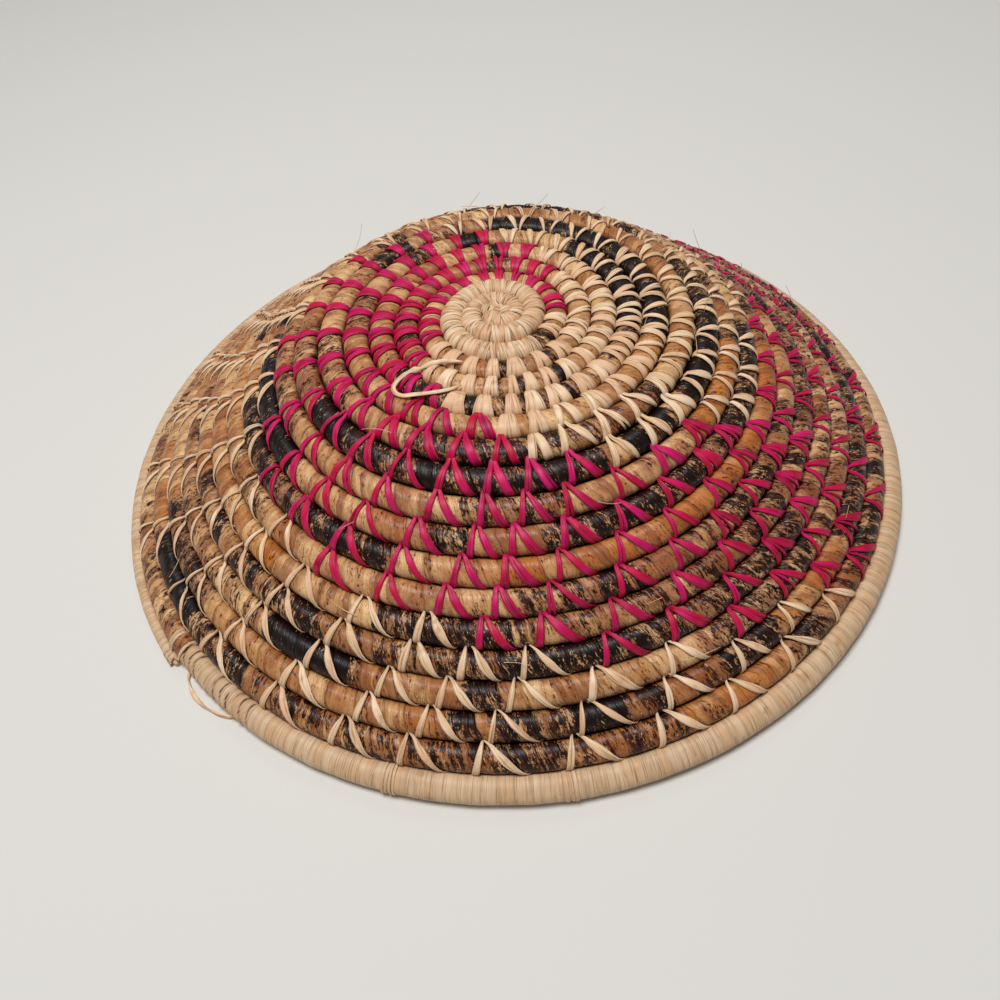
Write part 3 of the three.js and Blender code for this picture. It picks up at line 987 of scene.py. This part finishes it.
def windLeaf():
    ends, bundleLength = bundleEnds()
    along, around = round(bundleLength / leafCoil["stepLength"]), leafCoil["around"]
    for bundle in range(coil["bundles"]):
        gap = leafCoil["buttGap"] / 2 / circleAt(ends[bundle])
        first, last = ends[bundle] + gap, ends[bundle + 1] - gap
        piece = startGrid(f"leaf_bundle_{bundle + 1:02d}", along, around)
        points, looks, dyes = {}, [], []
        for place in range(along + 1):
            turn = mixed(first, last, place / along)
            ring = Ring(turn)
            window = leafCoil["pressedReach"] / ring.circle
            nearest = range(bisect_left(legTurns, turn - window), bisect_left(legTurns, turn + window))
            near = [(legs[index], (turn - legs[index].turn) * ring.circle) for index in nearest]
            looks.append(lookAt(turn))
            dyes.append(dyeAt(turn))
            for spot in range(around):
                angle = 2 * math.pi * spot / around
                outside = Vector((turn * ring.circle * 70, math.cos(angle) * 0.7, math.sin(angle) * 0.7))
                lift = leafCoil["lumps"] * (noise.noise(outside) + 0.5 * noise.noise(outside * 3.1))
                point = ring.point(angle, lift - pressAt(angle, near))
                point.z = max(point.z, 0.0)
                points[place, spot] = point
        places = []
        for vertex in piece.data.vertices:
            places.append(round(vertex.co.x * along))
            vertex.co = points[places[-1], round(vertex.co.y * around) % around]
        flat = [number for place in places for number in looks[place]]
        addAttribute(piece, "leafLook", "FLOAT_VECTOR", flat)
        addAttribute(piece, "dyed", "FLOAT", [dyes[place] for place in places])
        scaleMap(piece, bundleLength, math.pi * coilDiameter, bundle * bundleLength)
        closeTube(piece)
        settle(piece, "leaf_" + leafCoil["slots"][bundle], leafMaterial, f"leaf_coil_{bundle + 1:02d}")
    print("leaf wound in", coil["bundles"], "bundles of", round(bundleLength * 1000), "mm")


windLeaf()

# Coils wrapped in natural raffia: the centre of the base, and the rim
startCoil = {
    "stepLength": 0.0003,
    "around": 36,
    "wrap": (0.0013, 0.0022),
    "ridge": 0.0003,
    "lumps": 0.0005,
    "slant": 0.12,
    "seed": 3,
}
rimCoil = {
    "stepLength": 0.0006,
    "around": 36,
    "wrap": (0.0020, 0.0062),
    "ridge": 0.00005,
    "lumps": 0.0002,
    "slant": 0.2,
    "seed": 5,
    # wide wraps pulled over each other at the start
    "boldUntil": 0.049,  # along the rim
    "boldFade": 0.008,
    "boldWrap": (0.003, 0.005),
    "boldRidge": 0.0012,
    "boldSlant": 0.5,
    "tailFrom": 0.78,  # part of the turn
    "tailPlump": 0.0007,
    "tailPassage": 0.12,  # part of the turn
    "endLength": 0.005,
}


def crownAt(part, bold):  # how high a wrap stands: rounded, or pulled over the wrap before it
    rounded = 1 - (2 * part - 1) ** 4 if part < 0.5 else (1 - (2 * part - 1) ** 2) ** 0.6
    pulled = mixed(1, 0.2, smooth(part / 0.3)) if part < 0.3 else mixed(0.2, 1, (part - 0.3) / 0.7)
    return mixed(rounded, pulled, bold)


def wrapCoil(name, values, first, last, material, node):
    pick = random.Random(values["seed"])
    steps = 400
    share = (last - first) / steps
    length = sum(circleAt(first + (step + 0.5) * share) * share for step in range(steps))
    wraps = [-0.02]
    boldUntil = values.get("boldUntil", -1)
    while wraps[-1] < length + 0.02:
        wraps.append(wraps[-1] + pick.uniform(*values["boldWrap" if wraps[-1] < boldUntil else "wrap"]))
    tones = [pick.random() for wrap in wraps]
    heights = [pick.uniform(0.4, 1.0) for wrap in wraps]
    along, around = round(length / values["stepLength"]), values["around"]
    piece = startGrid(name, along, around)
    points, looks = {}, {}
    travelled, turn = 0.0, first
    for place in range(along + 1):
        ring = Ring(turn)
        bold = smooth((boldUntil - travelled) / values.get("boldFade", 1))
        slant = mixed(values["slant"], values.get("boldSlant", 0), bold)
        for spot in range(around):
            angle = 2 * math.pi * spot / around
            seen = travelled + slant * ring.diameter * 0.5 * math.sin(angle - 0.6)
            wrap = bisect_left(wraps, seen) - 1
            part = (seen - wraps[wrap]) / (wraps[wrap + 1] - wraps[wrap])
            crown = crownAt(part, bold)
            ridge = mixed(values["ridge"], values.get("boldRidge", 0), bold) * heights[wrap]
            swell = noise.noise(Vector((travelled * 120, math.cos(angle), math.sin(angle))))
            lift = ridge * (crown - 0.8) + values["lumps"] * swell
            if turn > coil["rimStart"]:
                past = turn - coil["rimStart"] - values["tailFrom"]
                lift += values["tailPlump"] * smooth(past / values["tailPassage"])
            point = ring.point(angle, lift)
            if turn > coil["rimStart"]:
                closing = smooth((length - travelled) / values["endLength"])
                point = ring.centre + (point - ring.centre) * mixed(0.35, 1, closing)
                point.z = max(point.z, 0.0)
            points[place, spot] = point
            # painted shadow in the crevice where a bold wrap is pulled over the wrap before it
            crevice = bell(part - 0.3, 0.12) * smooth((heights[wrap] - 0.5) / 0.2) * bold
            crevice *= 0.95 + 0.8 * noise.noise(Vector((travelled * 900, angle * 1.5, 3)))
            # the look holds the wrap's tone, painted shade in the groove between wraps, and the painted crevice
            # shadow
            looks[place, spot] = (tones[wrap], (1 - crown) * 0.5, crevice)
        turn = min(turn + values["stepLength"] / ring.circle, last)
        travelled += values["stepLength"]
    flat = []
    for vertex in piece.data.vertices:
        place, spot = round(vertex.co.x * along), round(vertex.co.y * around) % around
        vertex.co = points[place, spot]
        flat.extend(looks[place, spot])
    addAttribute(piece, "raffiaLook", "FLOAT_VECTOR", flat)
    scaleMap(piece, length, math.pi * coilDiameter)
    closeTube(piece)
    settle(piece, "raffia", material, node)
    print(name, "wrapped", len(wraps), "times")


leafStart, rimStart = coil["leafStart"], coil["rimStart"]
wrapCoil("start_coil_wrapped", startCoil, coil["coilStart"], leafStart - 0.001, centreRaffia, "start_coil")
wrapCoil("rim_coil_wrapped", rimCoil, rimStart + 0.0002, rimStart + 1, rimRaffia, "rim_coil")

# Separate wraps that show as ridges: all over the centre, and in a few places on the rim
ridgedWraps = {
    "seed": 8,
    "centre": {
        "from": -3.0, "to": -0.745, "spacing": (0.0011, 0.0030), "width": 1.15, "tilt": 0.0016, "lift": 0.00012,
    },
    "rim": {"spacing": (0.0012, 0.0020), "width": 0.9, "tilt": 0.0006, "lift": 0.0001},
    "rimPlaces": [{"from": 15.098, "to": 15.103}, {"from": 15.160, "to": 15.164}],
    "centreThickness": 0.0004,
    "rimThickness": 0.0003,
    "angles": (196, -16),  # degrees, of a wrap's two ends
    "sunk": 0.0006,  # at both ends
    "ties": [15.9935, 15.9955, 15.998],  # turns
    # points of a tie, on the thin end and then on the row before: turns back, angle, lift and width
    "tiePoints": [
        (0, -40, 0.0008, 0.0013), (0, 0, 0.0008, 0.0013), (0, 45, 0.0008, 0.0013), (0, 85, 0.0008, 0.0013),
        (0, 120, 0.0008, 0.0013), (1, 48, 0.0005, 0.0012), (1, 72, 0.0004, 0.0014), (1, 96, 0.0004, 0.0016),
        (1, 118, 0.0003, 0.0015), (1, 138, 0.0001, 0.0013), (1, 156, -0.0006, 0.0010),
    ],
    # lumps over the middle of the base: x, y, radius and height in mm, and their wraps' direction in degrees
    "lumps": [
        (-2.4, -3.0, 3.4, 2.0, 70), (3.0, -0.9, 3.2, 2.1, 20), (-1.0, 2.9, 3.0, 1.7, 110),
        (-3.5, 1.4, 2.7, 1.9, 60), (0.4, 0.2, 2.6, 2.2, 150),
    ],
    "lumpWraps": (-0.75, -0.35, 0.0, 0.38, 0.76),  # places side by side, in parts of the radius
    "lumpSunk": 0.0012,
}


def offFloor(point):
    point.z = max(point.z, strap["floorGap"])
    return point


# Short loops that tie the thin end of the rim to its start
def tieCourse(turn, pick):
    rings = (Ring(turn), Ring(turn - 1 + pick.uniform(-0.001, 0.003)))
    course = []
    for back, degrees, lift, width in ridgedWraps["tiePoints"]:
        ring, angle = rings[back], math.radians(degrees)
        course.append((offFloor(ring.point(angle, lift)), ring.spoke(angle), width))
    return course, pick.random()


def wrapCourses(values, pick):
    courses = []
    turn = values["from"]
    while turn < values["to"]:
        spacing = pick.uniform(*values["spacing"])
        ring = Ring(turn)
        outer = ring.radius + ring.diameter / 2
        tilt = pick.uniform(-1, 1) * values["tilt"] / ring.circle
        raised = values["lift"] + pick.uniform(0, 0.00025)
        course = []
        for part in strapParts:
            angle = math.radians(mixed(*ridgedWraps["angles"], part))
            leaned = Ring(turn + tilt * (part - 0.5) * 2)
            reach = (leaned.radius + leaned.diameter / 2 * math.cos(angle)) / outer
            sunk = ridgedWraps["sunk"] * smooth(abs(part - 0.5) * 8 - 3)
            point = offFloor(leaned.point(angle, raised - sunk))
            normal = leaned.spoke(angle) + leaned.along * 0.05
            course.append((point, normal, spacing * values["width"] * reach))
        courses.append((course, pick.random()))
        turn += spacing / (2 * math.pi * outer)
    return courses


# Short wraps side by side over each lump
def lumpCourses(pick):
    sunk = Vector((0, 0, baseTop + coil["buttonRise"] - ridgedWraps["lumpSunk"]))
    courses = []
    for x, y, size, rise, direction in ridgedWraps["lumps"]:
        radius = size / 1000
        ahead = Vector((math.cos(math.radians(direction)), math.sin(math.radians(direction)), 0))
        across = Vector((-ahead.y, ahead.x, 0))
        middle = Vector((x / 1000, y / 1000, 0)) + sunk
        for aside in ridgedWraps["lumpWraps"]:
            reach = radius * math.sqrt(1 - aside * aside)
            raised = (rise + pick.uniform(-0.15, 0.25)) / 1000
            bend = pick.uniform(-1, 1) * 0.0005
            course = []
            for part in strapParts:
                angle = math.pi * part - math.pi / 2
                place = across * (aside * radius + bend * math.cos(angle)) + ahead * (reach * math.sin(angle))
                place.z = raised * math.cos(angle) * math.sqrt(1 - 0.6 * aside * aside)
                normal = Vector((0, 0, math.cos(angle))) + ahead * math.sin(angle) + across * aside
                width = radius * pick.uniform(0.5, 0.56) * (0.6 + 0.4 * math.cos(angle))
                course.append((middle + place, normal, width))
            courses.append((course, pick.random()))
    return courses


wrapPick = random.Random(ridgedWraps["seed"])
centreCourses = wrapCourses(ridgedWraps["centre"], wrapPick) + lumpCourses(wrapPick)
layStraps("centre_wraps", centreCourses, wrapRaffia, "raffia", ridgedWraps["centreThickness"])
rimCourses = []
for place in ridgedWraps["rimPlaces"]:
    rimCourses += wrapCourses({**ridgedWraps["rim"], **place}, wrapPick)
rimCourses += [tieCourse(turn, wrapPick) for turn in ridgedWraps["ties"]]
layStraps("rim_wraps", rimCourses, rimWrapRaffia, "raffia", ridgedWraps["rimThickness"])

# Stray fibres that stick out of the stitches
strays = {
    "seed": 21,
    "count": 46,
    "length": (0.005, 0.014),
    "width": 0.0003,
    "thickness": 0.00016,
    "lift": 0.0004,
    "angles": (60, 150),  # degrees, of their roots on the coil
}


def strayCourse(pick):
    ring = Ring(coil["rimStart"] * pick.uniform(0.02, 1) ** 0.6)
    angle = math.radians(pick.uniform(*strays["angles"]))
    spoke = ring.spoke(angle)
    heading = (spoke * pick.uniform(0.05, 0.4) + ring.along * pick.uniform(-1, 1)).normalized()
    curl = spoke * pick.uniform(-0.2, 0.25) + ring.along.cross(spoke) * pick.uniform(-0.4, 0.4)
    length = pick.uniform(*strays["length"])
    course = []
    for part in strapParts:
        point = ring.point(angle, strays["lift"]) + (heading * part + curl * part * part) * length
        course.append((offFloor(point), spoke, strays["width"] * (1 - 0.6 * part)))
    return course, pick.random()


strayPick = random.Random(strays["seed"])
strayCourses = [strayCourse(strayPick) for count in range(strays["count"])]
layStraps("stray_fibres", strayCourses, naturalRaffia, "raffia", strays["thickness"])

# Floor and light
studio = {
    "floor": "dbd9d4",
    "floorSize": 8,
    "floorRoughness": 0.9,
    "floorShine": 0.1,
    "world": "f4f2ef",
    "worldStrength": 0.2,
    "lamps": [
        {"place": (-0.2, -0.12, 1.5), "size": 0.6, "power": 19.5},
        {"place": (0.3, 0.9, 1.2), "size": 0.6, "power": 1.5},
    ],
}


def setStudio():
    bpy.ops.object.select_all(action="DESELECT")
    bpy.ops.mesh.primitive_plane_add(size=studio["floorSize"])
    floor = bpy.context.object
    floor.name = "floor"
    finish = Finish("paleFloor")
    surface = finish.wear(shade(studio["floor"]), studio["floorRoughness"], studio["floorShine"])
    floor.data.materials.append(surface)
    for lamp in studio["lamps"]:
        place = Vector(lamp["place"])
        bpy.ops.object.light_add(type="AREA", location=place)
        light = bpy.context.object
        light.rotation_euler = (-place).to_track_quat("-Z", "Y").to_euler()
        light.data.size = lamp["size"]
        light.data.energy = lamp["power"]
    world = bpy.data.worlds.new("paleRoom")
    scene.world = world
    world.use_nodes = True
    background = world.node_tree.nodes["Background"]
    background.inputs["Color"].default_value = shade(studio["world"])
    background.inputs["Strength"].default_value = studio["worldStrength"]


setStudio()
print("floor and light set")
